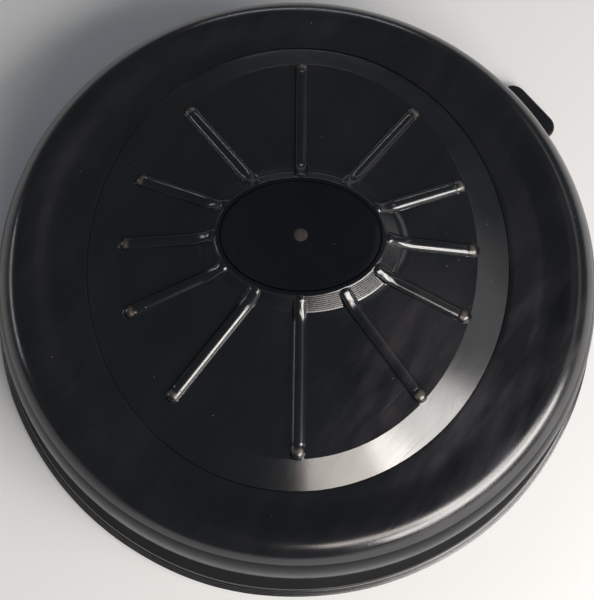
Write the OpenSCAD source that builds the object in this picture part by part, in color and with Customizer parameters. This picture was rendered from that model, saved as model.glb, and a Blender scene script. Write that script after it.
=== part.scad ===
// Round kayak hatch: a soft rubber cover with a stiff ribbed centre, snapped over its deck ring.
// Millimetres, +Z up. The origin is the centre of the gasket's underside, where the hatch meets the deck.
// +Y points to the far end of the long axis of the oval panel.

/* [Deck ring] */
// Clear diameter of the hatch opening, inside the neck
opening_d = 238; // [190:2:290]
// Wall of the neck
neck_t = 3.5; // [2.5:0.5:5]
// Height of the neck above the flange
neck_h = 37; // [30:0.5:46]
// Thickness of the flange
flange_t = 3; // [2:0.5:5]
// Width of the flange outside the neck
flange_w = 10.5; // [8:0.5:14]
// Radius of the round bead round the outside of the neck
bead_r = 4.2; // [3.4:0.2:5.2]
// Height of the bead's centre above the top of the flange
bead_rise = 21.5; // [17:0.5:27]
// Number of fixing holes in the flange
fixing_count = 8; // [4:1:12]
// Diameter of a fixing hole
fixing_d = 4.5; // [3:0.5:5.5]
// Thickness of the gasket under the flange
gasket_t = 2; // [1:0.5:4]

/* [Cover rim] */
// Wall of the rubber rim
rubber_t = 3.2; // [2.6:0.2:4]
// Width of the broad roll round the cover, from its crown out to the rolled edge
roll_w = 16; // [12:0.5:20]
// How far the roll's crown stands up above the flat brim
roll_rise = 2.8; // [0.5:0.1:3.6]
// How far the rolled edge stands out past the skirt's waist
edge_proud = 2.2; // [1:0.1:3]
// How far the skirt's bottom edge stands out past the flange
skirt_over = 6; // [5.5:0.5:12]
// Gap between the skirt's bottom edge and the deck
deck_gap = 1; // [0.5:0.5:3]
// Number of fine grip ridges round the bottom of the skirt
grip_count = 4; // [2:1:5]
// Spacing of the grip ridges along the skirt
grip_pitch = 1.3; // [1:0.1:1.6]
// Depth of the inner lip below the groove's roof
lip_depth = 18; // [10:1:22]
// Thickness of the sponge seal in the groove's roof
seal_t = 2.2; // [1.6:0.2:3.2]
// Free gap between the cover and the ring, all round
snap_gap = 0.4; // [0.3:0.1:1]

/* [Centre panel] */
// Width of the brim beside the oval panel, from the rolled edge in to the band's foot, along X
brim_side_w = 43.1; // [34:0.1:54]
// Width of the brim at the ends of the oval panel, along Y
brim_end_w = 33.1; // [27:0.1:42]
// Run of the sloping band at the oval's sides
band_run_side = 13.8; // [10:0.1:18]
// Run of the sloping band at the oval's ends
band_run_end = 11; // [8:0.1:15]
// Turn of the oval panel about Z, in degrees
panel_turn = -4; // [-10:0.5:10]
// Width of the centre boss at its foot, across X
boss_w = 84.6; // [66:0.2:104]
// Length of the centre boss at its foot, along Y
boss_l = 62.4; // [50:0.2:78]
// Width of the badge plate's seat on the boss, across X
plate_w = 68.8; // [56:0.2:80]
// Length of the badge plate's seat on the boss, along Y
plate_l = 50.8; // [40:0.2:60]
// Rise of the sloping band
band_rise = 5.8; // [4:0.1:9]
// Rise of the ribbed panel from its edge to the boss
panel_rise = 8.1; // [5:0.1:14]
// Rise of the boss wall
boss_rise = 7; // [5:0.1:11]
// Upright thickness of the panel
panel_t = 3; // [2:0.2:4]
// Gap between the bonding flange under the brim and the inner lip
bond_gap = 4; // [2:0.5:6]
// Thickness of the bonding flange
bond_t = 2; // [1.2:0.2:3]
// Thickness of the badge plate
badge_t = 1.6; // [1:0.2:2.4]
// How far the badge plate stands out of its seat
badge_proud = 0.4; // [0.2:0.2:0.8]
// Thickness of the backing disc
backing_t = 2.5; // [1.5:0.5:4]

/* [Ribs] */
// Number of ribs on the panel
rib_count = 12; // [6:1:18]
// Radius of a rib's round back
rib_r = 2.9; // [2:0.1:3.6]
// How far a rib's axis lies under the surface
rib_sink = 0.6; // [0.3:0.1:1]

/* [Pull tab] */
// Direction of the pull tab about Z, in degrees from +X
tab_turn = 39; // [0:1:360]
// How far the tab stands out past its hinge line
tab_reach = 13.4; // [10:0.1:20]
// Width of the tab at its root
tab_root_w = 40; // [34:1:48]
// Width of the tab at its tip
tab_tip_w = 34; // [24:1:40]
// Thickness of the tab
tab_t = 4; // [3:0.2:5]

/* [Hidden] */
$fn = 96;
OVAL_SIDES = 90;                              // sides of the polygon that stands for an oval
CUT = 0.01;                                   // thickness of a loft's end slice
OVER = 1;                                     // how far a cutting tool runs past what it cuts
FIT = 0.2;                                    // gap round a piece that drops into a seat
MOVE_GAP = 0.5;                               // gap between the tab's root and the skirt

neck_r = opening_d/2;                         // inner radius of the neck
neck_o = neck_r + neck_t;                     // outer radius of the neck
bead_c = neck_o - 0.5;                        // radius of the bead's centre line
flange_z = gasket_t + flange_t;               // top of the flange
bead_z = flange_z + bead_rise;                // height of the bead's centre
neck_z = flange_z + neck_h;                   // top of the neck
flange_r = neck_o + flange_w;
fixing_r = neck_o + flange_w/2;               // radius of the circle of fixing holes
gusset_count = 2*fixing_count;
gusset_h = 9;

snap_r = bead_c + bead_r + snap_gap;          // inner radius of the snap lip
waist_r = snap_r + rubber_t;                  // outer radius of the skirt's waist
edge_r = waist_r + edge_proud;                // outermost radius of the rolled edge
edge_z = bead_z - 1.3;                        // height of the rolled edge
waist_z = edge_z - 4.7;                       // height of the waist, under the bead
flare_r = flange_r + skirt_over;              // outer radius of the skirt's bottom edge
seal_bottom = neck_z + snap_gap;              // underside of the groove seal
roof_z = seal_bottom + seal_t;                // roof of the groove that takes the neck
brim_z = roof_z + rubber_t;                   // top of the flat brim
lip_r = neck_r - 2.4;                         // outer radius of the inner lip
lip_t = 3;
roll_c = edge_r - roll_w;                     // radius of the roll's crown
crown_z = brim_z + roll_rise;

// Points along an arc about (cx, cz) of radius r, from angle a to angle b
function arc(cx, cz, r, a, b, n) = [for (i = [0:n]) let (t = a + (b - a)*i/n) [cx + r*cos(t), cz + r*sin(t)]];
// Points along a quarter oval about (cx, cz) with half axes a and b, from angle p to angle q
function quarter(cx, cz, a, b, p, q, n) = [for (i = [0:n]) let (t = p + (q - p)*i/n) [cx + a*cos(t), cz + b*sin(t)]];
// Points of an oval with half axes a and b
function oval(a, b) = [for (i = [0:OVAL_SIDES-1]) let (t = 360*i/OVAL_SIDES) [a*cos(t), b*sin(t)]];
// Radius of an oval with half axes a and b in the direction t
function oval_r(a, b, t) = 1/sqrt(pow(cos(t)/a, 2) + pow(sin(t)/b, 2));

// The panel's stations, from the band's foot up to the badge plate's seat
band_a = edge_r - brim_side_w;
band_b = edge_r - brim_end_w;
panel_a = band_a - band_run_side;
panel_b = band_b - band_run_end;
panel_z = brim_z + band_rise;
boss_a = boss_w/2;
boss_b = boss_l/2;
boss_z = panel_z + panel_rise;
plate_a = plate_w/2;
plate_b = plate_l/2;
plate_z = boss_z + boss_rise;
foot_a = band_a + rubber_t*band_run_side/band_rise;   // the band runs on down through the brim
foot_b = band_b + rubber_t*band_run_end/band_rise;
inner_r = min(panel_a, panel_b) - OVER;       // the brim starts this far in, inside the band
well_a = foot_a - panel_t*band_run_side/band_rise;    // the hollow's edge at the foot
well_b = foot_b - panel_t*band_run_end/band_rise;
bond_r = lip_r - lip_t - bond_gap;            // outer radius of the bonding flange
badge_rim = 1.6;                              // width of the boss's edge left round the badge plate

hinge_r = flare_r + MOVE_GAP + tab_t/2;       // radius of the tab's hinge line
hinge_z = deck_gap + FIT + tab_t/2;           // height of the tab's hinge line

// A closed oval loft between two level ovals
module loft(a1, b1, z1, a2, b2, z2) {
    hull() {
        translate([0, 0, z1]) linear_extrude(CUT) polygon(oval(a1, b1));
        translate([0, 0, z2 - CUT]) linear_extrude(CUT) polygon(oval(a2, b2));
    }
}

// The sloping band, solid inside and run on down through the brim
module band_solid() {
    rotate(panel_turn) loft(foot_a, foot_b, roof_z, panel_a, panel_b, panel_z);
}

// The outer shape of the whole centre panel, solid inside
module panel_solid() {
    band_solid();
    hull() {
        rotate(panel_turn) translate([0, 0, panel_z - CUT]) linear_extrude(CUT) polygon(oval(panel_a, panel_b));
        translate([0, 0, boss_z - CUT]) linear_extrude(CUT) polygon(oval(boss_a, boss_b));
    }
    loft(boss_a, boss_b, boss_z - CUT, plate_a, plate_b, plate_z);
}

// A round bar from p to q in the XZ plane, with domed ends
module bar(p, q) {
    hull() for (at = [p, q]) translate([at[0], 0, at[1]]) sphere(rib_r, $fn = 20);
}

// One rib: from the badge plate's edge, down the boss wall and out to the panel's edge.
// t is the rib's place on the boss oval.
module rib(t) {
    way = atan2(boss_b*sin(t), boss_a*cos(t));
    top = [oval_r(plate_a, plate_b, way), plate_z - rib_sink - rib_r/2];
    foot = [oval_r(boss_a, boss_b, way), boss_z - rib_sink];
    end = [oval_r(panel_a, panel_b, way - panel_turn) - rib_r, panel_z - rib_sink];
    rotate(way) {
        bar(top, foot);
        bar(foot, end);
    }
}

// The soft outer moulding is one piece of rubber, drawn as three nodes:
// the flat brim, out to the crown of the roll
module rim_brim() {
    color("#17171a") difference() {
        rotate_extrude($fn = 180) polygon([[inner_r, brim_z], [roll_c - 11, brim_z], [roll_c - 7, brim_z + roll_rise*0.35],
            [roll_c - 3.5, brim_z + roll_rise*0.85], [roll_c, crown_z], [roll_c, roof_z], [inner_r, roof_z]]);
        band_solid();
        translate([0, 0, roof_z - 1]) rotate(panel_turn) linear_extrude(1.1) polygon(oval(foot_a, foot_b));
    }
}

// the roll, its edge, the snap lip and the flared skirt with fine grip ridges
module rim_skirt() {
    bottom = deck_gap;
    slope = atan2(flare_r - waist_r, waist_z - bottom);
    in_a = roll_w - rubber_t;
    in_b = crown_z - edge_z - rubber_t;
    color("#17171a") {
        rotate_extrude($fn = 180) polygon(concat(
            quarter(roll_c, edge_z, roll_w, crown_z - edge_z, 90, 0, 22),
            [[edge_r - 0.4, edge_z - 1.5], [waist_r + 0.5, edge_z - 2.4],
             [waist_r, waist_z], [flare_r, bottom + 0.8], [flare_r - 0.4, bottom], [flare_r - rubber_t, bottom],
             [snap_r, waist_z], [snap_r, waist_z + 1]],
            quarter(roll_c, edge_z, in_a, in_b, 0, asin((roof_z - edge_z)/in_b), 10),
            [[roll_c, roof_z]]));
        for (i = [0:grip_count-1])
            translate([0, 0, bottom + 1.2 + i*grip_pitch*cos(slope)])
                rotate_extrude($fn = 180)
                    translate([flare_r - (0.4 + i*grip_pitch*cos(slope))*tan(slope), 0]) circle(0.45, $fn = 16);
    }
}

// and the lip that hangs inside the deck ring's neck
module neck_lip() {
    tip_z = roof_z - lip_depth;
    color("#17171a") rotate_extrude($fn = 180) polygon([[lip_r, roof_z], [lip_r, tip_z], [lip_r - 1, tip_z - 1],
        [lip_r - 2, tip_z], [lip_r - lip_t, roof_z]]);
}

// The stiff centre: sloping band, ribbed panel and hollow boss, with a flange bonded under the brim
module ribbed_panel() {
    color("#202024") difference() {
        union() {
            panel_solid();
            for (i = [0:rib_count-1]) rib(360*i/rib_count);
            translate([0, 0, roof_z - bond_t]) cylinder(h = bond_t, r = bond_r, $fn = 180);
        }
        translate([0, 0, -panel_t]) panel_solid();
        translate([0, 0, plate_z - badge_t + badge_proud])
            linear_extrude(badge_t + rib_r) polygon(oval(plate_a - badge_rim, plate_b - badge_rim));
    }
}

// The oval badge plate, dropped into its seat on the boss, with the round mark left by moulding
module badge_plate() {
    a = plate_a - badge_rim - FIT;
    b = plate_b - badge_rim - FIT;
    color("#141417") {
        translate([0, 0, plate_z - badge_t + badge_proud]) linear_extrude(badge_t) polygon(oval(a, b));
        translate([0, 0, plate_z + badge_proud]) cylinder(h = 0.3, r = 2.6);
    }
}

// The flat disc that closes the panel's underside, with a stiffening ring and spokes
module backing_disc() {
    a = well_a - FIT;
    b = well_b - FIT;
    ring_a = a*0.6;
    color("#2b2b2f") rotate(panel_turn) {
        translate([0, 0, roof_z - backing_t]) linear_extrude(backing_t) polygon(oval(a, b));
        translate([0, 0, roof_z - backing_t - 2]) {
            difference() {
                cylinder(h = 2, r = ring_a);
                translate([0, 0, -OVER]) cylinder(h = 2 + 2*OVER, r = ring_a - 2);
            }
            for (i = [0:5]) rotate(60*i) translate([ring_a - 1, -1, 0]) cube([a - ring_a - 3, 2, 2]);
        }
    }
}

// The sponge ring bonded to the groove's roof, which the neck presses
module groove_seal() {
    color("#3a3a3c") translate([0, 0, seal_bottom]) difference() {
        cylinder(h = seal_t, r = neck_o - 0.8);
        translate([0, 0, -OVER]) cylinder(h = seal_t + 2*OVER, r = lip_r + 0.5);
    }
}

// The finger tab that the cover is peeled off by, with a round root on its hinge line
module pull_tab() {
    corner = 7;
    color("#17171a") rotate(tab_turn) translate([hinge_r, 0, hinge_z]) {
        rotate([90, 0, 0]) cylinder(h = tab_root_w, r = tab_t/2, center = true);
        translate([0, 0, -tab_t/2]) linear_extrude(tab_t) polygon(concat(
            [[0, -tab_root_w/2]],
            arc(tab_reach - corner, corner - tab_tip_w/2, corner, -80, 0, 8),
            arc(tab_reach - corner, tab_tip_w/2 - corner, corner, 0, 80, 8),
            [[0, tab_root_w/2]]));
    }
}

// The moulded ring on the deck: flange, neck with gussets, and the round bead that the cover snaps over
module deck_ring() {
    color("#1c1c1f") difference() {
        union() {
            translate([0, 0, gasket_t]) cylinder(h = flange_t, r = flange_r, $fn = 180);
            rotate_extrude($fn = 180) polygon([[neck_r - OVER, gasket_t], [neck_o, gasket_t], [neck_o, neck_z - 1.5],
                [neck_o - 1, neck_z], [neck_r + 0.8, neck_z], [neck_r - OVER, neck_z - 0.8]]);
            translate([0, 0, bead_z]) rotate_extrude($fn = 180) translate([bead_c, 0]) circle(bead_r, $fn = 32);
            for (i = [0:gusset_count-1])
                rotate(360*(i + 0.5)/gusset_count) translate([neck_o - 0.5, 1, flange_z - 0.5])
                    rotate([90, 0, 0]) linear_extrude(2)
                        polygon([[0, 0], [flange_w*0.6, 0], [0, gusset_h]]);
        }
        cylinder(h = neck_z + OVER, r = neck_r, $fn = 180);
        for (i = [0:fixing_count-1])
            rotate(360*i/fixing_count) translate([fixing_r, 0, 0]) cylinder(h = flange_z + OVER, r = fixing_d/2);
    }
}

// The flat foam ring between flange and deck
module deck_gasket() {
    color("#48484c") difference() {
        cylinder(h = gasket_t, r = flange_r - 1, $fn = 180);
        translate([0, 0, -OVER]) cylinder(h = gasket_t + 2*OVER, r = neck_r + 1, $fn = 180);
        for (i = [0:fixing_count-1])
            rotate(360*i/fixing_count) translate([fixing_r, 0, -OVER])
                cylinder(h = gasket_t + 2*OVER, r = fixing_d/2);
    }
}

rim_brim();
rim_skirt();
neck_lip();
ribbed_panel();
badge_plate();
backing_disc();
groove_seal();
pull_tab();
deck_ring();
deck_gasket();
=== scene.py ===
# Round kayak hatch: soft rubber cover with a stiff ribbed centre, on its deck ring. Metres, +Z up.
import bpy, bmesh
import numpy as np
from math import radians, sin, cos, pi, hypot
from mathutils import Matrix, Vector


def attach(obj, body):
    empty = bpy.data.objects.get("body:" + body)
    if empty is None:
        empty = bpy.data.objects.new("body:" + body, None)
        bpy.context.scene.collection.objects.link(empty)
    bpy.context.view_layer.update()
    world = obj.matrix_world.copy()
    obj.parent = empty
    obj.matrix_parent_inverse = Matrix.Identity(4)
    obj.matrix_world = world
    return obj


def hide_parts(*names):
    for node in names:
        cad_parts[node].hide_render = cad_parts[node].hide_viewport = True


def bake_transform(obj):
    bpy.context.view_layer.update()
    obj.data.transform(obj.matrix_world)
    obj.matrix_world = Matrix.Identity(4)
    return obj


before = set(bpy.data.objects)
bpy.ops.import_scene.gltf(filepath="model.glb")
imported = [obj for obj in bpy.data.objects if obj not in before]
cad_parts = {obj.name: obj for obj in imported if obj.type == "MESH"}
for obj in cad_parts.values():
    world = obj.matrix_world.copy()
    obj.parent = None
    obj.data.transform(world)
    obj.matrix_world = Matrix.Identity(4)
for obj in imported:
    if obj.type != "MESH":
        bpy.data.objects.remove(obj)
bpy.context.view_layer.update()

# ---------------------------------------------------------------------------------------------
# Soft rim: one moulding of black rubber. A flat brim runs out to a broad roll that turns down to its
# edge, and under the waist a skirt flares out to fine grip ridges. The roll's wall and the skirt take
# darker, less reflective copies of the rubber, as painted shade. Inside hang the snap lip that holds
# the bead and the lip that guides the neck.
MM = 0.001                                    # sizes are written in millimetres, meshes are in metres
EDGE_R, EDGE_Z = 132.0, 25.2                  # the rolled edge
BRIM_Z, ROOF_Z = 47.8, 44.6                   # top of the brim, and roof of the groove under it
RUBBER = 3.2                                  # wall of the rim
CROWN_R, CROWN_Z, ROLL_W = 116.0, 50.6, 16.0  # the roll's crown, and its width out to the edge
CROWN_RUN, CROWN_STEPS, ROLL_STEPS = 12.5, 18, 40
WALL_STEP = 18                                # from this step the roll turns down and takes a darker, less reflective rubber: painted shade
WAIST_R, WAIST_Z, SNAP_R, FLARE_R, SKIRT_BOTTOM = 129.8, 20.5, 126.6, 139.0, 1.0
FLARE_STEPS, FLARE_NORMAL = 110, (0.9, 0.42)
RIDGE_COUNT, RIDGE_FIRST, RIDGE_PITCH, RIDGE_R, RIDGES_BELOW = 4, 2.2, 1.18, 0.42, 7.5
LIP_OUT, LIP_IN, LIP_LOW, LIP_ROUND = 116.6, 113.6, 27.0, 1.5
BRIM_ROUND = 1.25                             # the rounding of the brim's inner edge
PANEL_TURN = -4.0                             # turn of the oval panel, in degrees
# half axes of three ovals: the band's foot at the brim, its root under the brim, and the well inside it
BAND_FOOT, BAND_ROOT, BAND_WELL = (88.9, 98.9), (96.51, 104.97), (89.37, 99.28)


def oval_radius(half_axes, theta, turn=0.0):
    a, b = half_axes
    t = theta - radians(turn)
    return 1.0 / np.sqrt((np.cos(t) / a) ** 2 + (np.sin(t) / b) ** 2)


def arc_points(cx, cz, r, a, b, n):
    t = np.radians(np.linspace(a, b, n))
    return [(cx + r * cos(v), cz + r * sin(v)) for v in t]


def line_points(p, q, n):
    return [(p[0] + (q[0] - p[0]) * i / n, p[1] + (q[1] - p[1]) * i / n) for i in range(1, n)]


def mesh_piece(name, points, faces, crease=38):
    mesh = bpy.data.meshes.new(name)
    corners = [tuple(float(c) * MM for c in p) for p in points]
    mesh.from_pydata(corners, [], [tuple(int(i) for i in f) for f in faces])
    mesh.validate()
    mesh.shade_smooth()
    mesh.set_sharp_from_angle(angle=radians(crease))
    piece = bpy.data.objects.new(name, mesh)
    bpy.context.collection.objects.link(piece)
    return piece


def ring_grid(around, along):
    """Faces of a grid of around x along points that closes round the axis, and along its section too."""
    faces = []
    for i in range(around):
        k = (i + 1) % around
        for j in range(along):
            m = (j + 1) % along
            faces.append((i * along + j, i * along + m, k * along + m, k * along + j))
    return faces


def moulded_black(name, colour, rough, grain, grain_scale, scuff_and_lit_patch=None, shine=0.5, dust=0.5, patch=None,
                  sheen_and_worn=None):
    """Moulded black rubber or plastic: near black, with patchy gloss, fine grain, scratches and dust."""
    mat = bpy.data.materials.new(name)
    mat.use_nodes = True
    tree = mat.node_tree
    nodes, links = tree.nodes, tree.links
    bsdf = nodes["Principled BSDF"]
    bsdf.inputs["Specular IOR Level"].default_value = shine
    place = nodes.new("ShaderNodeTexCoord").outputs["Object"]

    def noise(scale, detail=3.0, stretch=None, rough_n=0.5):
        node = nodes.new("ShaderNodeTexNoise")
        node.inputs["Scale"].default_value = scale
        node.inputs["Detail"].default_value = detail
        node.inputs["Roughness"].default_value = rough_n
        if stretch:
            turn = nodes.new("ShaderNodeMapping")
            turn.vector_type = "TEXTURE"          # turns first, then stretches along the turned axes
            turn.inputs["Rotation"].default_value = (0, 0, radians(stretch[0]))
            turn.inputs["Scale"].default_value = (1 / stretch[1], 1 / stretch[2], 1.0)
            links.new(place, turn.inputs["Vector"])
            links.new(turn.outputs["Vector"], node.inputs["Vector"])
        else:
            links.new(place, node.inputs["Vector"])
        return node.outputs["Fac"]

    def span(value, lo, hi, out_lo, out_hi):
        node = nodes.new("ShaderNodeMapRange")
        node.inputs["From Min"].default_value, node.inputs["From Max"].default_value = lo, hi
        node.inputs["To Min"].default_value, node.inputs["To Max"].default_value = out_lo, out_hi
        links.new(value, node.inputs["Value"])
        return node.outputs["Result"]

    def mul(a, b, op="MULTIPLY"):
        node = nodes.new("ShaderNodeMath")
        node.operation = op
        for socket, v in zip(node.inputs, (a, b)):
            if isinstance(v, (int, float)):
                socket.default_value = v
            else:
                links.new(v, socket)
        return node.outputs[0]

    def tint(base, other, mask):
        node = nodes.new("ShaderNodeMix")
        node.data_type = "RGBA"
        links.new(mask, node.inputs["Factor"])
        for socket, v in ((node.inputs["A"], base), (node.inputs["B"], other)):
            if isinstance(v, tuple):
                socket.default_value = (*v, 1.0)
            else:
                links.new(v, socket)
        return node.outputs["Result"]

    # slow variation of the black itself
    lighter = tuple(c * 1.7 + 0.0012 for c in colour)
    skin = tint(colour, lighter, span(noise(26.0, 4.0), 0.35, 0.75, 0.0, 1.0))
    # cloudy handling marks; given a spot, a patch of them round it is tinted lighter: real haze, and painted
    # light where the lamps fall on it
    cloud = span(noise(1.0, 4.0, (57, 16.0, 62.0), 0.6), 0.42, 0.78, 0.0, 1.0)
    if scuff_and_lit_patch:
        far = nodes.new("ShaderNodeVectorMath")
        far.operation = "DISTANCE"
        links.new(place, far.inputs[0])
        far.inputs[1].default_value = scuff_and_lit_patch[0]
        near = span(far.outputs["Value"], scuff_and_lit_patch[1] * 0.25, scuff_and_lit_patch[1], 1.0, 0.12)
        cloud_here = mul(cloud, near)
        skin = tint(skin, scuff_and_lit_patch[2], mul(cloud_here, scuff_and_lit_patch[3]))
    else:
        near = None
        cloud_here = mul(cloud, 0.3)
    # hair scratches, two families of long fine lines
    hair = mul(span(noise(1.0, 2.0, (46, 11.0, 2300.0)), 0.66, 0.72, 0.0, 1.0),
               span(noise(18.0, 2.0), 0.48, 0.62, 0.0, 1.0))
    hair_2 = mul(span(noise(1.0, 2.0, (69, 14.0, 1900.0)), 0.67, 0.73, 0.0, 1.0),
                 span(noise(23.0, 2.0), 0.52, 0.64, 0.0, 1.0))
    hairs = mul(hair, hair_2, "MAXIMUM")
    # the scratches also show more inside that patch: painted light
    if near is not None:
        hairs = mul(hairs, span(near, 0.0, 1.0, 0.35, 1.0))
    skin = tint(skin, tuple(c * 3.0 + 0.02 for c in colour), mul(hairs, 0.4))
    # specks of dust
    speck = nodes.new("ShaderNodeTexVoronoi")
    speck.inputs["Scale"].default_value = 210.0
    links.new(place, speck.inputs["Vector"])
    specks = span(speck.outputs["Distance"], 0.055, 0.035, 0.0, 1.0)
    split = nodes.new("ShaderNodeSeparateColor")
    links.new(speck.outputs["Color"], split.inputs["Color"])
    specks = mul(specks, span(split.outputs["Red"], 0.80, 0.84, 0.0, 1.0))
    skin = tint(skin, (0.30, 0.29, 0.28), mul(specks, dust))
    if patch:                     # a round mark at the centre, such as where the mould was filled
        centre = nodes.new("ShaderNodeVectorMath")
        centre.operation = "DISTANCE"
        links.new(place, centre.inputs[0])
        centre.inputs[1].default_value = patch[0]
        spot = mul(span(centre.outputs["Value"], patch[1] * 1.06, patch[1] * 0.94, 0.0, 1.0),
                   span(noise(420.0, 4.0), 0.3, 0.7, 0.55, 1.0))
        skin = tint(skin, patch[2], spot)
    if sheen_and_worn:                      # a lighter brownish cap on each rib's ball end, kept on the mesh as a number at each point: painted sheen, and rubbing
        sheen_and_rub_attribute = nodes.new("ShaderNodeAttribute")
        sheen_and_rub_attribute.attribute_name = sheen_and_worn[0]
        sheen_and_wear = mul(sheen_and_rub_attribute.outputs["Fac"], span(noise(700.0, 3.0), 0.3, 0.7, 0.45, 1.0))
        skin = tint(skin, sheen_and_worn[1], sheen_and_wear)
    links.new(skin, bsdf.inputs["Base Color"])
    # gloss: broad patches, handling marks and scratches are duller
    gloss = span(noise(34.0, 4.0), 0.3, 0.7, rough[0], rough[1])
    gloss = mul(gloss, mul(cloud_here, 0.16), "ADD")
    gloss = mul(gloss, mul(hairs, 0.12), "ADD")
    gloss = mul(gloss, mul(specks, 0.3), "ADD")
    if sheen_and_worn:
        gloss = mul(gloss, mul(sheen_and_wear, 0.3), "ADD")
    links.new(gloss, bsdf.inputs["Roughness"])
    # relief: moulded grain, then the scratches cut into it
    fine = nodes.new("ShaderNodeBump")
    fine.inputs["Strength"].default_value = grain
    fine.inputs["Distance"].default_value = 0.00006
    links.new(noise(grain_scale, 3.0, rough_n=0.6), fine.inputs["Height"])
    cut = nodes.new("ShaderNodeBump")
    cut.invert = True
    cut.inputs["Strength"].default_value = 0.35
    cut.inputs["Distance"].default_value = 0.00003
    links.new(hairs, cut.inputs["Height"])
    links.new(fine.outputs["Normal"], cut.inputs["Normal"])
    links.new(cut.outputs["Normal"], bsdf.inputs["Normal"])
    return mat


# the brim's lighter cloudy patch lies on the lower right, facing the lamps: handling haze, and painted light
rim_black = moulded_black("rim_black_rubber", (0.0030, 0.0034, 0.0047), (0.17, 0.25), 0.30, 900.0,
                          scuff_and_lit_patch=((0.090, -0.066, 0.048), 0.080, (0.120, 0.112, 0.130), 0.42), shine=0.75)
# darker, less reflective copies of the rim's rubber for the roll's wall and the skirt: painted shade
roll_wall_shaded = moulded_black("roll_wall_shaded_rubber", (0.0024, 0.0026, 0.0036), (0.20, 0.28), 0.30, 900.0,
                           shine=0.12, dust=0.4)
skirt_shaded = moulded_black("skirt_shaded_rubber", (0.0022, 0.0024, 0.0032), (0.45, 0.55), 0.30, 900.0,
                           shine=0.07, dust=0.3)

rim_theta = np.linspace(0, 2 * pi, 480, endpoint=False)
# the outside of the section, from the brim's inner edge down to the skirt's bottom
outside = []
for i in range(CROWN_STEPS + 1):          # the brim rises gently to the roll's crown
    f = i / CROWN_STEPS
    outside.append((CROWN_R - CROWN_RUN * (1 - f), BRIM_Z + (CROWN_Z - BRIM_Z) * f * f * (3 - 2 * f)))
for i in range(1, ROLL_STEPS + 1):        # the broad roll
    a = radians(90 - 90 * i / ROLL_STEPS)
    outside.append((CROWN_R + ROLL_W * cos(a), EDGE_Z + (CROWN_Z - EDGE_Z) * sin(a)))
    if i == WALL_STEP:
        roll_from = len(outside)
turned_under = len(outside)
# the turn under the edge, and the waist
outside += [(EDGE_R - 0.06, EDGE_Z - 0.5), (EDGE_R - 0.3, EDGE_Z - 1.0), (EDGE_R - 0.75, EDGE_Z - 1.6)]
outside += [(EDGE_R - 1.2, EDGE_Z - 2.1), (WAIST_R + 0.4, EDGE_Z - 2.9), (WAIST_R + 0.1, EDGE_Z - 3.8)]
outside += [(WAIST_R, WAIST_Z), (WAIST_R + 0.2, WAIST_Z - 1.0)]
flare_top, flare_low = outside[-1], (FLARE_R, SKIRT_BOTTOM + 0.8)
for i in range(1, FLARE_STEPS + 1):
    f = i / FLARE_STEPS
    r = flare_top[0] + (flare_low[0] - flare_top[0]) * f
    z = flare_top[1] + (flare_low[1] - flare_top[1]) * f
    if z > RIDGES_BELOW:                  # the plain part of the flare needs one step in ten
        if i % 10:
            continue
        ridges_from = len(outside)
    lift = 0.0                            # fine ridges near the bottom stand out square to the flare
    for ridge in range(RIDGE_COUNT):
        d = (z - (RIDGE_FIRST + RIDGE_PITCH * ridge)) / RIDGE_R
        lift = max(lift, RIDGE_R * max(0.0, 1 - d * d) ** 0.5)
    outside.append((r + lift * FLARE_NORMAL[0], z + lift * FLARE_NORMAL[1]))
inside = arc_points(FLARE_R - 0.7, SKIRT_BOTTOM + 0.7, 0.7, 0, -90, 6)
inside += arc_points(FLARE_R - 2.7, SKIRT_BOTTOM + 0.5, 0.5, -90, -180, 5)
inside += line_points(inside[-1], (SNAP_R, WAIST_Z - 0.4), 12)
inside += arc_points(SNAP_R + 0.55, WAIST_Z + 0.4, 0.55, 215, 130, 7)
in_a, in_b = ROLL_W - RUBBER, CROWN_Z - EDGE_Z - RUBBER
for a in (-8, 0, 10, 20, 30, 40, 50, 60):
    inside.append((CROWN_R + in_a * cos(radians(a)), EDGE_Z + in_b * sin(radians(a))))
inside += [(121.9, ROOF_Z), (119.4, ROOF_Z), (LIP_OUT + 0.3, ROOF_Z), (LIP_OUT, ROOF_Z - 0.3)]
inside += line_points((LIP_OUT, ROOF_Z - 0.3), (LIP_OUT, LIP_LOW), 10)
inside += arc_points(LIP_OUT - LIP_ROUND, LIP_LOW + 0.1, LIP_ROUND, 0, -180, 12)
inside += line_points((LIP_IN, LIP_LOW + 0.1), (LIP_IN, ROOF_Z - 0.8), 10)
inside += [(LIP_IN - 0.2, ROOF_Z - 0.25), (LIP_IN - 0.8, ROOF_Z), (LIP_IN - 2.0, ROOF_Z)]
rim_points = []
foot_r = oval_radius(BAND_FOOT, rim_theta, PANEL_TURN)
root_r = oval_radius(BAND_ROOT, rim_theta, PANEL_TURN)
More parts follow.
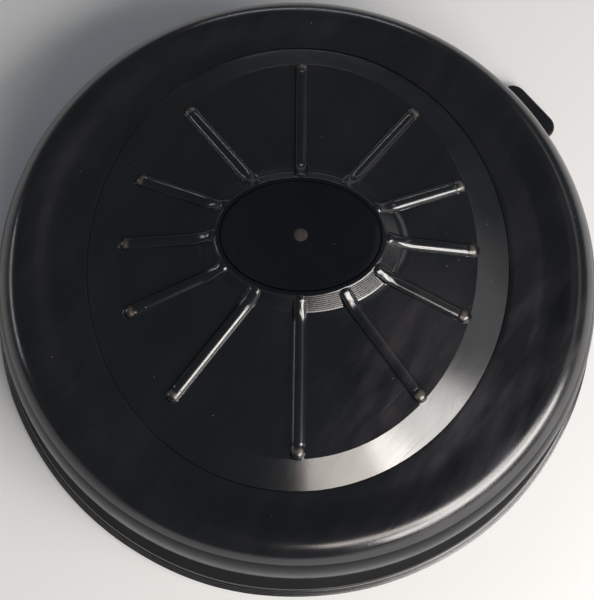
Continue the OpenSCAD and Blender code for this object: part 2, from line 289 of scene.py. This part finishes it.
for i, theta in enumerate(rim_theta):
    # the brim's inner edge follows the oval band, with a fine rounded edge against it
    foot, root = foot_r[i], root_r[i]
    flat_from, flat_to = foot + BRIM_ROUND, CROWN_R - CROWN_RUN
    start = [(root + (foot - root) * f + 0.02, ROOF_Z + RUBBER * f) for f in (0.0, 0.25, 0.5, 0.72)]
    start += [(foot + 0.95, BRIM_Z - 0.32), (foot + 0.98, BRIM_Z - 0.12), (flat_from, BRIM_Z)]
    start += [(flat_from + (flat_to - flat_from) * f, BRIM_Z) for f in (0.15, 0.35, 0.6, 0.8)]
    section = start + outside + inside
    # soft rubber never lies quite true: the skirt waves by a fraction of a millimetre
    wave = 0.22 * sin(3 * theta + 0.7) + 0.12 * sin(7 * theta + 2.1) + 0.07 * sin(13 * theta)
    for r, z in section:
        low = min(1.0, max(0.0, (22.0 - z) / 20.0)) if r > 124 else 0.0
        dish = 0.08 * sin(5 * theta + 1.0) * min(1.0, max(0.0, (r - 106) / 8)) if z > 47 else 0.0
        rr = r + wave * low
        rim_points.append((rr * cos(theta), rr * sin(theta), z + 0.10 * low * sin(4 * theta) + dish))
rim = mesh_piece("soft_rim", rim_points, ring_grid(len(rim_theta), len(section)), 50)
rim.data.flip_normals()
rim.data.materials.append(rim_black)
rim.data.materials.append(roll_wall_shaded)
rim.data.materials.append(skirt_shaded)
start_count = len(section) - len(outside) - len(inside)
for face in rim.data.polygons:            # painted shade: the roll's wall takes a darker, less reflective rubber than its crown, the flare a darker one still
    place_in_section = face.index % len(section) - start_count
    if roll_from < place_in_section <= turned_under:
        face.material_index = 1
    elif turned_under < place_in_section <= ridges_from:
        face.material_index = 2
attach(rim, "cover")
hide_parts("rim_brim", "rim_skirt", "neck_lip")

# ---------------------------------------------------------------------------------------------
# Ribbed centre: an oval panel injection moulded in hard gloss plastic. A sloping band rises from
# the brim, twelve round ribs run out from a raised boss whose wall shows turning lines, and a
# flange under the brim is bonded to the rubber.
PANEL_EDGE, PANEL_Z = (75.1, 87.9), 53.6
BOSS_FOOT, BOSS_Z = (42.3, 31.2), 61.7
PLATE_EDGE, PLATE_Z = (34.4, 25.4), 68.7
RIB_COUNT, RIB_ROUND, RIB_SINK = 12, 2.9, 0.6
RIB_REACH = 4.4                               # how far the close columns go to each side of a rib
SEAT_Z = 67.5                                 # floor of the badge plate's seat
PANEL_WALL = 3.0
BOND_R, BOND_LOW = 109.6, 42.6                # the bonding flange under the brim
CENTRE_R = 0.04                               # where a section that runs to the middle ends

rib_ways = []
for i in range(RIB_COUNT):
    t = 2 * pi * i / RIB_COUNT
    rib_ways.append(float(np.arctan2(BOSS_FOOT[1] * sin(t), BOSS_FOOT[0] * cos(t))) % (2 * pi))
rib_ways.sort()
# columns of points: close together across each rib, and wider between ribs; the close ones keep their
# distance from the rib's line
across = [-RIB_REACH, -3.9, -3.55, -3.3, -3.1, -2.95, -2.8, -2.65, -2.4, -2.05, -1.6, -1.1, -0.55, 0.0]
across = across + [-d for d in across[:-1]][::-1]
columns = []
for k in range(RIB_COUNT):
    columns += [("rib", k, d) for d in across]
    columns += [("plain", k, f) for f in np.linspace(0, 1, 13)[1:-1]]


def column_angle(column, radius):
    kind, k, v = column
    if kind == "rib":
        return rib_ways[k] + np.arcsin(np.clip(v / radius, -1, 1))
    a = rib_ways[k] + np.arcsin(RIB_REACH / radius)
    b = rib_ways[(k + 1) % RIB_COUNT] + (2 * pi if k == RIB_COUNT - 1 else 0) - np.arcsin(RIB_REACH / radius)
    return a + (b - a) * v


def station_radius(s, theta):
    """s runs 0 plate's edge, 1 boss foot, 2 panel's edge, 3 band's foot, 4 root under the brim."""
    ovals = [oval_radius(half, theta) for half in (PLATE_EDGE, BOSS_FOOT)]
    ovals += [oval_radius(half, theta, PANEL_TURN) for half in (PANEL_EDGE, BAND_FOOT, BAND_ROOT)]
    k = min(3, int(s))
    return ovals[k] + (ovals[k + 1] - ovals[k]) * (s - k)


def station_height(s):
    heights = (PLATE_Z, BOSS_Z, PANEL_Z, BRIM_Z, ROOF_Z)
    k = min(3, int(s))
    return heights[k] + (heights[k + 1] - heights[k]) * (s - k)


STEP_COUNT, STEP_RISE, STEP_FLAT, STEPS_FROM, STEPS_TO = 9, 0.24, 0.66, 0.05, 0.97
stations = [0.0, 0.015, 0.03]
for i in range(STEP_COUNT):               # each turning step is a long flat and a shorter drop
    for f in (0.0, 0.06, 0.22, 0.44, 0.60, 0.66, 0.72, 0.94):
        stations.append(STEPS_FROM + (STEPS_TO - STEPS_FROM) * (i + f) / STEP_COUNT)
stations += [0.97, 0.985, 1.0]
stations += [1 + v for v in (0.01, 0.02, 0.035, 0.05, 0.07, 0.09, 0.12)]
stations += list(1 + np.linspace(0.15, 0.86, 18))
stations += list(1 + np.linspace(0.87, 0.985, 16)) + [1.992, 1.997, 2.0, 2.006, 2.02, 2.04, 2.08]
stations += list(2 + np.linspace(0.13, 0.97, 12)) + [3.0, 3.25, 3.6, 4.0]
EASE = np.linspace(-4.0, 4.0, 17)         # a rib's back is the panel's profile, eased over this reach


def rib_height(d, along, way, end, start):
    """Height of a rib's round back at a distance d from its line; its nose and its end are round in plan."""
    d = hypot(d, max(0.0, along - end), max(0.0, start - along))
    marks = [float(oval_radius(PLATE_EDGE, way)), float(oval_radius(BOSS_FOOT, way)),
             float(oval_radius(PANEL_EDGE, way, PANEL_TURN))]
    back = float(np.mean(np.interp(along + EASE, marks, (PLATE_Z, BOSS_Z, PANEL_Z)))) - RIB_SINK
    back -= 0.20 * float(np.exp(-((along - (end - 2.4)) / 0.5) ** 2))    # a faint crease behind the ball
    height = back + (RIB_ROUND ** 2 - d * d) ** 0.5 if d < RIB_ROUND else back - (d - RIB_ROUND) * 3.0
    ceiling = PLATE_Z - 0.05
    return 0.5 * (height + ceiling - ((height - ceiling) ** 2 + 0.12) ** 0.5)


panel_top, panel_sheen_and_wear = [], []
for column in columns:
    ring = []
    k = column[1]
    base_way = rib_ways[k] if column[0] == "rib" or column[2] < 0.5 else rib_ways[(k + 1) % RIB_COUNT]
    end = float(oval_radius(PANEL_EDGE, base_way, PANEL_TURN)) - 0.85 * RIB_ROUND
    start = float(oval_radius(PLATE_EDGE, base_way)) + 0.9 * RIB_ROUND
    sheen_and_wear_here = []
    for s in stations:
        rho = float(station_radius(s, rib_ways[k]))
        for _ in range(3):
            theta = column_angle(column, rho)
            rho = float(station_radius(s, theta))
        x, y, z = rho * cos(theta), rho * sin(theta), station_height(s)
        if abs(s - 1.0) < 0.12:                   # ease the corner at the boss's foot
            z += 0.55 * (1 - abs(s - 1.0) / 0.12) ** 2
        if STEPS_FROM < s < STEPS_TO:             # turning steps round the boss wall
            step = (s - STEPS_FROM) / (STEPS_TO - STEPS_FROM) * STEP_COUNT
            part = step % 1.0
            fade = min(1.0, step, STEP_COUNT - step)
            z += STEP_RISE * min(part / STEP_FLAT, (1 - part) / (1 - STEP_FLAT)) * fade
        sheen_and_wear = 0.0
        if 0 < s < 2.06:
            along = x * cos(base_way) + y * sin(base_way)
            d = -x * sin(base_way) + y * cos(base_way)
            back = rib_height(d, along, base_way, end, start)
            # the top of each rib's ball end gets a lighter brownish cap: painted sheen, and rubbing
            if back > z and abs(d) < 2.1:
                sheen_and_wear = max(0.0, 1 - abs(along - (end - 0.2)) / 1.5)
            z = 0.5 * (z + back + ((z - back) ** 2 + 0.03) ** 0.5) if back > z - 3 else z
        ring.append([x, y, z])
        sheen_and_wear_here.append(sheen_and_wear)
    panel_top.append(np.array(ring))
    panel_sheen_and_wear.append(sheen_and_wear_here)
# inside the boss's edge: a fine chamfer, the rim of the seat, and the seat's floor
panel_points, sheen_and_worn_spots = [], []
for top, sheen_and_wear_here in zip(panel_top, panel_sheen_and_wear):
    r = hypot(top[0][0], top[0][1])
    u, v = top[0][0] / r, top[0][1] / r
    inner = [(CENTRE_R, SEAT_Z), (r - 1.75, SEAT_Z), (r - 1.62, SEAT_Z + 0.15), (r - 1.6, PLATE_Z - 0.2),
             (r - 1.4, PLATE_Z), (r - 0.45, PLATE_Z), (r - 0.12, PLATE_Z - 0.1)]
    points = [(q * u, q * v, w) for q, w in inner]
    points += [tuple(p) for p in top[1:]]
    sheen_and_worn_spots += [0.0] * len(inner) + sheen_and_wear_here[1:]
    root = top[-1]
    rt = hypot(root[0], root[1])
    u, v = root[0] / rt, root[1] / rt
    theta = float(np.arctan2(v, u))
    well = float(oval_radius(BAND_WELL, theta, PANEL_TURN))
    under = [(rt + 0.3, ROOF_Z - 0.02), (BOND_R - 0.5, ROOF_Z - 0.02), (BOND_R, ROOF_Z - 0.4),
             (BOND_R, BOND_LOW + 0.4), (BOND_R - 0.4, BOND_LOW), (well + 4.5, BOND_LOW)]
    for s in (3.7, 3.0, 2.5, 2.0, 1.5, 1.0, 0.5, 0.0):
        under.append((float(station_radius(s, theta)), station_height(s) - PANEL_WALL))
    under += [(12.0, PLATE_Z - PANEL_WALL), (CENTRE_R, PLATE_Z - PANEL_WALL)]
    points += [(q * u, q * v, w) for q, w in under]
    sheen_and_worn_spots += [0.0] * len(under)
    panel_points += points
panel = mesh_piece("ribbed_centre", panel_points, ring_grid(len(columns), len(points)), 34)
panel.data.flip_normals()
# the ball ends' lighter caps: painted sheen, and rubbing
rub = panel.data.attributes.new("rib_sheen_and_wear", "FLOAT", "POINT")
rub.data.foreach_set("value", sheen_and_worn_spots)
# the panel's brownish cloudy patch lies on the band's lower right, under the warm lamps: handling marks, and
# a painted reflection of the lamps
panel_black = moulded_black("panel_black_gloss", (0.0018, 0.0026, 0.0040), (0.14, 0.22), 0.20, 1700.0,
                            scuff_and_lit_patch=((0.045, -0.062, 0.056), 0.05, (0.085, 0.066, 0.070), 0.40),
                            shine=0.9, dust=0.45, sheen_and_worn=("rib_sheen_and_wear", (0.105, 0.082, 0.060)))
panel.data.materials.append(panel_black)
seat_black = moulded_black("boss_top_black_gloss", (0.0018, 0.0026, 0.0040), (0.07, 0.13), 0.12, 1300.0,
                           dust=0.5, patch=((0, 0, 0.0692), 0.0028, (0.060, 0.052, 0.047)))
panel.data.materials.append(seat_black)
for face in panel.data.polygons:          # the boss's narrow top is polished like the plate in it
    if face.index % len(points) < len(inner):
        face.material_index = 1
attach(panel, "cover")
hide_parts("ribbed_panel")

# ---------------------------------------------------------------------------------------------
# Badge plate: a small oval plate of high-gloss plastic, pressed into its seat on the boss. It
# carries nothing but a dull round mark at its middle, where its mould was filled.
BADGE_HALF, BADGE_TOP = (32.6, 23.6), 69.1
badge_theta = np.linspace(0, 2 * pi, 240, endpoint=False)
# each point is a distance, a height, and "e" where the distance is from the edge or "r" from the middle
badge_section = [(0.0, SEAT_Z, "r"), (-0.35, SEAT_Z, "e"), (0.0, SEAT_Z + 0.3, "e"),
                 (0.0, BADGE_TOP - 0.35, "e"), (-0.1, BADGE_TOP - 0.1, "e"), (-0.35, BADGE_TOP, "e"),
                 (-3.0, BADGE_TOP, "e"), (-9.0, BADGE_TOP, "e"),
                 (5.4, BADGE_TOP, "r"), (4.4, BADGE_TOP, "r"), (3.5, BADGE_TOP, "r"),
                 (3.4, BADGE_TOP, "r"), (3.0, BADGE_TOP - 0.07, "r"), (2.75, BADGE_TOP - 0.02, "r"),
                 (2.6, BADGE_TOP + 0.09, "r"), (1.2, BADGE_TOP + 0.12, "r"), (0.02, BADGE_TOP + 0.10, "r")]
badge_points = []
for theta in badge_theta:
    a, b = BADGE_HALF
    t = np.arctan2(a * sin(theta), b * cos(theta))
    x, y = a * cos(t), b * sin(t)
    nx, ny = b * cos(t), a * sin(t)
    k = hypot(nx, ny)
    for off, z, kind in badge_section:
        if kind == "e":
            badge_points.append((x + off * nx / k, y + off * ny / k, z))
        else:
            badge_points.append(((off + 0.02) * cos(theta), (off + 0.02) * sin(theta), z))
badge = mesh_piece("badge_oval", badge_points, ring_grid(len(badge_theta), len(badge_section)), 40)
badge.data.materials.append(seat_black)
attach(badge, "cover")
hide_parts("badge_plate")

# ---------------------------------------------------------------------------------------------
# Backing disc: a flat oval of grained plastic welded into the panel's underside, with a round
# stiffening ring and six spokes on its lower face. It is only seen with the cover off.
BACK_HALF, BACK_RING, BACK_T, SPOKE_COUNT = (89.17, 99.08), 53.5, 2.5, 6
back_theta = np.linspace(0, 2 * pi, 240, endpoint=False)
back_points = []
for theta in back_theta:
    r = float(oval_radius(BACK_HALF, theta, PANEL_TURN))
    low = ROOF_Z - BACK_T
    section = [(0.03, ROOF_Z), (r - 0.3, ROOF_Z), (r, ROOF_Z - 0.3), (r, low + 0.5), (r - 0.5, low)]
    section += [(BACK_RING + 0.35, low), (BACK_RING, low - 0.3), (BACK_RING - 0.1, low - 1.7)]
    section += [(BACK_RING - 0.4, low - 2), (BACK_RING - 1.6, low - 2), (BACK_RING - 1.9, low - 1.7)]
    section += [(BACK_RING - 2.0, low - 0.3), (BACK_RING - 2.35, low), (0.03, low)]
    back_points += [(q * cos(theta), q * sin(theta), z) for q, z in section]
backing = mesh_piece("backing_oval", back_points, ring_grid(len(back_theta), len(section)), 40)
backing_grey = moulded_black("backing_grained_plastic", (0.020, 0.0205, 0.023), (0.42, 0.55), 0.9, 1100.0,
                             dust=0.15)
backing.data.flip_normals()
backing.data.materials.append(backing_grey)
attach(backing, "cover")
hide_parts("backing_disc")


def rounded_bar(name, length, width, height, taper=0.12, round_=0.35):
    """A drafted bar along +X with its upper edges rounded, standing on z = 0."""
    points, faces = [], []
    half, corner = width / 2, round_ * 0.3
    section = [(-half - taper, 0), (-half, height - round_), (-half + corner, height - corner),
               (-half + round_, height), (half - round_, height), (half - corner, height - corner),
               (half, height - round_), (half + taper, 0)]
    ends = [(0, 1.0), (length - 1.0, 1.0), (length - 0.3, 0.92), (length, 0.7)]
    for x, f in ends:
        points += [(x, y, z * f) for y, z in section]
    m = len(section)
    for i in range(len(ends) - 1):
        for j in range(m):
            faces.append((i * m + j, (i + 1) * m + j, (i + 1) * m + (j + 1) % m, i * m + (j + 1) % m))
    faces += [tuple(range(m)), tuple(range((len(ends) - 1) * m, len(ends) * m))[::-1]]
    return mesh_piece(name, points, faces, 50)


for i in range(SPOKE_COUNT):
    spoke = rounded_bar(f"backing_spoke_{i + 1}", BACK_HALF[0] - BACK_RING - 3.5, 2.0, 2.1)
    turn = Matrix.Rotation(radians(360 / SPOKE_COUNT * i + PANEL_TURN), 4, "Z")
    move = Matrix.Translation((BACK_RING * MM - 0.0008, 0, (ROOF_Z - 2.4) * MM))
    spoke.data.transform(turn @ move @ Matrix.Rotation(pi, 4, "X"))
    spoke.data.materials.append(backing_grey)
    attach(spoke, "cover")
    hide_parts("backing_disc")

# ---------------------------------------------------------------------------------------------
# Groove seal: a ring of closed-cell sponge bonded to the roof of the rim's groove. The top of the
# deck ring's neck presses into it and keeps the water out.
seal_theta = np.linspace(0, 2 * pi, 300, endpoint=False)
seal_section = [(117.1, 44.58), (117.1, 43.0)] + arc_points(117.7, 43.0, 0.6, 180, 270, 6)[1:]
seal_section += [(118.6, 42.4), (119.4, 42.52), (120.2, 42.4)]
seal_section += arc_points(121.1, 43.0, 0.6, 270, 360, 6) + [(121.7, 44.58)]
seal_points = []
for theta in seal_theta:
    soft = 0.05 * sin(11 * theta) + 0.03 * sin(29 * theta + 1)
    for r, z in seal_section:
        seal_points.append((r * cos(theta), r * sin(theta), z + (max(0, soft) if z < 43 else 0)))
seal = mesh_piece("sponge_seal", seal_points, ring_grid(len(seal_theta), len(seal_section)), 50)


def sponge(name, colour, cell):
    """Closed-cell sponge: matt, with the open pores of a cut face, darkened in colour as painted shade."""
    mat = bpy.data.materials.new(name)
    mat.use_nodes = True
    nodes, links = mat.node_tree.nodes, mat.node_tree.links
    bsdf = nodes["Principled BSDF"]
    bsdf.inputs["Roughness"].default_value = 0.86
    bsdf.inputs["Specular IOR Level"].default_value = 0.25
    place = nodes.new("ShaderNodeTexCoord").outputs["Object"]
    pores = nodes.new("ShaderNodeTexVoronoi")
    pores.inputs["Scale"].default_value = cell
    links.new(place, pores.inputs["Vector"])
    # the pores are darker in colour: painted shade in their pits
    ramp = nodes.new("ShaderNodeValToRGB")
    ramp.color_ramp.elements[0].position, ramp.color_ramp.elements[1].position = 0.12, 0.5
    ramp.color_ramp.elements[0].color = (*[c * 0.45 for c in colour], 1)
    ramp.color_ramp.elements[1].color = (*colour, 1)
    links.new(pores.outputs["Distance"], ramp.inputs["Fac"])
    links.new(ramp.outputs["Color"], bsdf.inputs["Base Color"])
    bump = nodes.new("ShaderNodeBump")
    bump.inputs["Strength"].default_value = 0.7
    bump.inputs["Distance"].default_value = 0.0002
    links.new(pores.outputs["Distance"], bump.inputs["Height"])
    links.new(bump.outputs["Normal"], bsdf.inputs["Normal"])
    return mat


seal.data.materials.append(sponge("seal_sponge_grey", (0.045, 0.045, 0.048), 1500.0))
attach(seal, "cover")
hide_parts("groove_seal")

# ---------------------------------------------------------------------------------------------
# Pull tab: a flat tongue of the same rubber, moulded on to the skirt's bottom edge. Fingers get
# under it to peel the cover off; the real tab bends up at its root, but here it is built flat.
TAB_WAY, TAB_MID, TAB_TIP, TAB_ROOT = radians(39), 3.2, 154.9, 137.4
TAB_HALF, TAB_CORNER, TAB_EDGE = 17.0, 7.0, 1.6   # half width, corner radius, and how far the edges round off
tab_u = np.sin(np.linspace(-pi / 2, pi / 2, 57))
tab_v = 1 - (1 - np.linspace(0, 1, 41)) ** 1.5
tab_points = []
for side in (1, -1):
    for v in tab_v:
        half = TAB_HALF + 6.5 * (1 - v) ** 3 + 0.9 * (1 - v)
        for u in tab_u:
            y = u * half
            past = max(0.0, abs(u) * TAB_HALF - (TAB_HALF - TAB_CORNER)) / TAB_CORNER
            tip = TAB_TIP - TAB_CORNER + TAB_CORNER * max(0.0, 1 - past ** 2) ** 0.5
            root = (TAB_ROOT ** 2 - y * y) ** 0.5
            x = root + (tip - root) * v
            rim_gap = min(1.0, (1 - abs(u)) * half / TAB_EDGE) if abs(u) > 0.5 else 1.0
            tip_gap = min(1.0, (1 - v) * (tip - root) / TAB_EDGE)
            thick = 2.0 - 0.45 * v
            edge = (1 - (1 - rim_gap) ** 2) ** 0.5 * (1 - (1 - tip_gap) ** 2) ** 0.5
            z = TAB_MID - 0.1 * v + side * thick * edge
            c, s = cos(TAB_WAY), sin(TAB_WAY)
            tab_points.append((x * c - y * s, x * s + y * c, z))
nu, nv = len(tab_u), len(tab_v)
tab_faces = []
for j in range(nv - 1):
    for i in range(nu - 1):
        a = j * nu + i
        tab_faces.append((a, a + nu, a + nu + 1, a + 1))
        b = nu * nv + a
        tab_faces.append((b, b + 1, b + nu + 1, b + nu))
tab = mesh_piece("finger_tab", tab_points, tab_faces, 60)
tab_mesh = bmesh.new()
tab_mesh.from_mesh(tab.data)
bmesh.ops.remove_doubles(tab_mesh, verts=tab_mesh.verts, dist=0.00001)
open_edges = [e for e in tab_mesh.edges if e.is_boundary]
bmesh.ops.holes_fill(tab_mesh, edges=open_edges, sides=0)
bmesh.ops.recalc_face_normals(tab_mesh, faces=tab_mesh.faces)
tab_mesh.to_mesh(tab.data)
tab_mesh.free()
tab.data.shade_smooth()
tab.data.set_sharp_from_angle(angle=radians(60))
tab.data.materials.append(rim_black)
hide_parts("pull_tab")


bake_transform(tab)

# ---------------------------------------------------------------------------------------------
# Deck ring: the fixed half, moulded in satin black plastic. A flat flange with eight holes for the
# fixings, a tall neck with small gussets, and the round bead that the cover snaps over.
NECK_IN, NECK_OUT, NECK_TOP = 119.0, 122.5, 42.0
FLANGE_R, FLANGE_LOW, FLANGE_TOP = 133.0, 2.0, 5.0
FIX_COUNT, FIX_R, HOLE_R = 8, 127.75, 2.25    # the circle of fixing holes
BEAD_C, BEAD_Z, BEAD_R = 122.0, 26.5, 4.2     # the bead's centre line and its radius
GUSSET_COUNT = 16
ring_satin = moulded_black("ring_satin_plastic", (0.012, 0.0125, 0.0145), (0.30, 0.42), 0.6, 1200.0,
                           dust=0.25)
neck_theta = np.linspace(0, 2 * pi, 360, endpoint=False)
neck_section = [(NECK_IN, FLANGE_LOW), (NECK_OUT + 1.2, FLANGE_LOW + 0.02), (NECK_OUT + 1.2, FLANGE_TOP),
                (NECK_OUT + 0.5, FLANGE_TOP + 0.15), (NECK_OUT + 0.15, FLANGE_TOP + 0.5),
                (NECK_OUT, FLANGE_TOP + 1.2)]
neck_section += line_points((NECK_OUT, FLANGE_TOP + 1.2), (NECK_OUT, BEAD_Z - BEAD_R), 6)
neck_section += arc_points(BEAD_C, BEAD_Z, BEAD_R, -80, 80, 26)
neck_section += line_points((NECK_OUT + 0.2, BEAD_Z + BEAD_R), (NECK_OUT, NECK_TOP - 1.4), 5)
neck_section += arc_points(NECK_OUT - 1.2, NECK_TOP - 1.2, 1.2, 0, 90, 7)
neck_section += arc_points(NECK_IN + 0.9, NECK_TOP - 0.9, 0.9, 90, 180, 7)
neck_section += line_points((NECK_IN, NECK_TOP - 1), (NECK_IN, FLANGE_LOW), 8)
neck_points = [(r * cos(t), r * sin(t), z) for t in neck_theta for r, z in neck_section]
neck = mesh_piece("ring_neck", neck_points, ring_grid(len(neck_theta), len(neck_section)), 40)


def washer(name, outer, inner, low, high, soften):
    """A flat ring with a circle of holes: a filled outline given thickness and soft edges."""
    curve = bpy.data.curves.new(name + "_outline", "CURVE")
    curve.dimensions = "2D"
    curve.fill_mode = "BOTH"
    curve.extrude = (high - low) / 2 * MM - soften * MM
    curve.bevel_depth = soften * MM
    curve.bevel_resolution = 2
    curve.offset = -soften * MM

    def loop(cx, cy, r, count):
        spline = curve.splines.new("POLY")
        spline.points.add(count - 1)
        for i, point in enumerate(spline.points):
            a = 2 * pi * i / count
            point.co = ((cx + r * cos(a)) * MM, (cy + r * sin(a)) * MM, 0, 1)
        spline.use_cyclic_u = True

    loop(0, 0, outer, 300)
    loop(0, 0, inner, 300)
    for i in range(FIX_COUNT):
        a = 2 * pi * i / FIX_COUNT
        loop(FIX_R * cos(a), FIX_R * sin(a), HOLE_R, 28)
    shape = bpy.data.objects.new(name + "_shape", curve)
    bpy.context.collection.objects.link(shape)
    bpy.context.view_layer.update()
    mesh = bpy.data.meshes.new_from_object(shape.evaluated_get(bpy.context.evaluated_depsgraph_get()))
    bpy.data.objects.remove(shape)
    bpy.data.curves.remove(curve)
    mesh.name = name
    mesh.transform(Matrix.Translation((0, 0, (low + high) / 2 * MM)))
    mesh.shade_smooth()
    mesh.set_sharp_from_angle(angle=radians(35))
    piece = bpy.data.objects.new(name, mesh)
    bpy.context.collection.objects.link(piece)
    return piece


flange = washer("ring_flange", FLANGE_R, NECK_IN + 1.0, FLANGE_LOW, FLANGE_TOP, 0.4)
gussets = []
gusset_profile = [(121.9, 4.6), (129.0, 4.6), (128.8, 5.1), (122.7, 13.6), (121.9, 13.9)]
for i in range(GUSSET_COUNT):
    points, faces = [], []
    for y, chamfer in ((-1.1, 0.25), (-0.8, 0.0), (0.8, 0.0), (1.1, 0.25)):
        for k, (r, z) in enumerate(gusset_profile):
            in_r, in_z = (chamfer if k in (1, 2) else 0), (chamfer if k >= 2 else 0)
            points.append((r - in_r, y * (1 if z > 6 else 1.08), z - in_z))
    for a in range(3):
        for b in range(5):
            faces.append((a * 5 + b, a * 5 + (b + 1) % 5, (a + 1) * 5 + (b + 1) % 5, (a + 1) * 5 + b))
    faces += [(4, 3, 2, 1, 0), (15, 16, 17, 18, 19)]
    gusset = mesh_piece(f"ring_gusset_{i + 1}", points, faces, 30)
    gusset.data.transform(Matrix.Rotation(radians(360 / GUSSET_COUNT * (i + 0.5)), 4, "Z"))
    gussets.append(gusset)
for piece in [neck, flange] + gussets:
    piece.data.materials.clear()
    piece.data.materials.append(ring_satin)
    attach(piece, "deck")
    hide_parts("deck_ring")

# ---------------------------------------------------------------------------------------------
# Deck gasket: a flat ring die-cut from grey closed-cell foam, laid between the flange and the deck
# and pierced by the same eight holes.
gasket = washer("foam_gasket", FLANGE_R - 1, NECK_IN + 1, 0.0, 1.98, 0.15)
gasket.data.materials.clear()
gasket.data.materials.append(sponge("gasket_foam_grey", (0.075, 0.075, 0.08), 1100.0))
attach(gasket, "deck")
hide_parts("deck_gasket")

# ---------------------------------------------------------------------------------------------
# The plain pale floor that stands for the deck, soft studio lights, and the camera.
FLOOR = 4.0                                   # half the floor's width, in metres
floor_mesh = bpy.data.meshes.new("floor")
floor_corners = [(-FLOOR, -FLOOR, 0), (FLOOR, -FLOOR, 0), (FLOOR, FLOOR, 0), (-FLOOR, FLOOR, 0)]
floor_mesh.from_pydata(floor_corners, [], [(0, 1, 2, 3)])
floor = bpy.data.objects.new("floor", floor_mesh)
bpy.context.collection.objects.link(floor)
floor_mat = bpy.data.materials.new("floor_pale")
floor_mat.use_nodes = True
floor_bsdf = floor_mat.node_tree.nodes["Principled BSDF"]
floor_bsdf.inputs["Base Color"].default_value = (0.86, 0.86, 0.86, 1)
floor_bsdf.inputs["Roughness"].default_value = 0.9
floor_bsdf.inputs["Specular IOR Level"].default_value = 0.1
floor_mesh.materials.append(floor_mat)

world = bpy.data.worlds.new("studio")
world.use_nodes = True
sky = world.node_tree.nodes["Background"]
sky.inputs["Color"].default_value = (0.84, 0.92, 1.0, 1)
sky.inputs["Strength"].default_value = 0.12
bpy.context.scene.world = world


AIM_Z = 0.05                                  # the lamps aim at this height, in metres


def softbox(name, azimuth, elevation, distance, width, height, radiance, colour):
    """A flat lamp aimed at the cover; radiance is what it looks like from the front."""
    lamp = bpy.data.lights.new(name, "AREA")
    lamp.shape = "RECTANGLE"
    lamp.size, lamp.size_y = width, height
    lamp.color = colour
    lamp.energy = radiance * pi * width * height
    box = bpy.data.objects.new(name, lamp)
    a, e = radians(azimuth), radians(elevation)
    out = Vector((cos(e) * cos(a), cos(e) * sin(a), sin(e)))
    place = Matrix.Translation(out * distance + Vector((0, 0, AIM_Z)))
    box.matrix_world = place @ out.to_track_quat("Z", "Y").to_matrix().to_4x4()
    bpy.context.collection.objects.link(box)


WARM, CREAM, COOL = (1.0, 0.925, 0.85), (1.0, 0.965, 0.93), (0.90, 0.94, 1.0)
# the long window-like strip low on the right, with a broader soft wash under it
softbox("strip_right_1", -63, 38, 1.5, 0.84, 0.34, 7.8, WARM)
softbox("strip_right_2", -36, 36, 1.5, 0.80, 0.34, 9.6, CREAM)
softbox("strip_right_3", 14, 33, 1.5, 1.70, 0.24, 0.8, CREAM)
softbox("wash_right", -40, 20, 0.95, 0.95, 0.22, 14.0, CREAM)
# thin fills from the left and from behind, which draw a line along each rib, and a dim one overhead
softbox("fill_left", 172, 14, 1.6, 0.8, 0.07, 9.0, COOL)
softbox("fill_back", 88, 20, 1.6, 0.9, 0.07, 8.0, COOL)
softbox("fill_over", 24, 60, 1.6, 0.8, 0.6, 0.13, (1.0, 0.86, 1.0))

cam = bpy.data.cameras.new("camera")
camera = bpy.data.objects.new("camera", cam)
bpy.context.collection.objects.link(camera)
tilt, swing, roll, reach = radians(18.52), radians(-3.4), radians(0.66), 3.2 * EDGE_R * MM
away = Vector((sin(tilt) * sin(swing), -sin(tilt) * cos(swing), cos(tilt)))
right = (-away).cross(Vector((0, 1, 0))).normalized()
up = right.cross(-away)
right, up = cos(roll) * right + sin(roll) * up, -sin(roll) * right + cos(roll) * up
spot = reach * away + Vector((0, 0, EDGE_Z * MM))
camera.matrix_world = Matrix(((right.x, up.x, away.x, spot.x), (right.y, up.y, away.y, spot.y),
                              (right.z, up.z, away.z, spot.z), (0, 0, 0, 1)))
cam.sensor_width = 36.0
cam.lens = 56.46
cam.shift_x = -0.00183
cam.shift_y = -0.0515
cam.clip_start = 0.01
bpy.context.scene.camera = camera
bpy.context.scene.view_settings.view_transform = "Standard"
